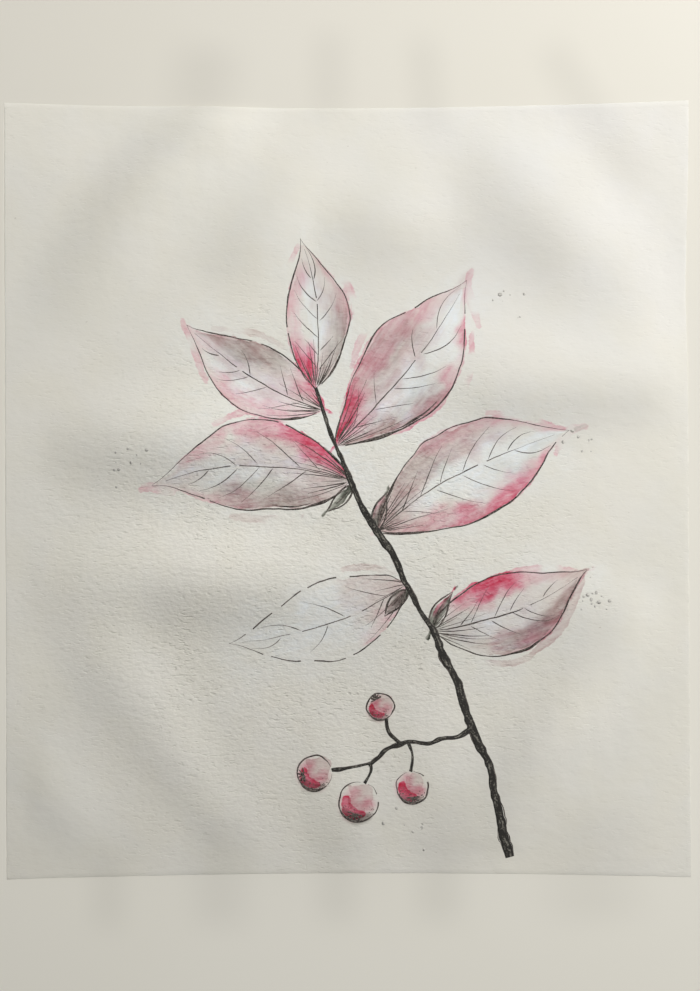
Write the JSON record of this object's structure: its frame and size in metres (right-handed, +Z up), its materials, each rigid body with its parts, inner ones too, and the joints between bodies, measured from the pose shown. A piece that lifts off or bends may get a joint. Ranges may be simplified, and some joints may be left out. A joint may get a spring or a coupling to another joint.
{
  "type": "painted watercolour paper sheet",
  "caption": "Loose sheet of cold-pressed watercolour paper with a pen, ink and watercolour plant design, cockled by the wet paint and lying face up.",
  "frame": {"origin": "middle of the sheet on the surface that it lies on", "axes": "+Z up out of the painted face, +Y towards the top edge of the picture, +X towards its right edge"},
  "size_m": [0.281, 0.319, 0.0063],
  "materials": {
    "paper": "matt cold-pressed rag paper, stained with watercolour washes",
    "ink": "matt dried black-brown ink soaked into the paper"
  },
  "bodies": {
    "root": {"paper_sheet": "paper"}
  },
  "joints": []
}
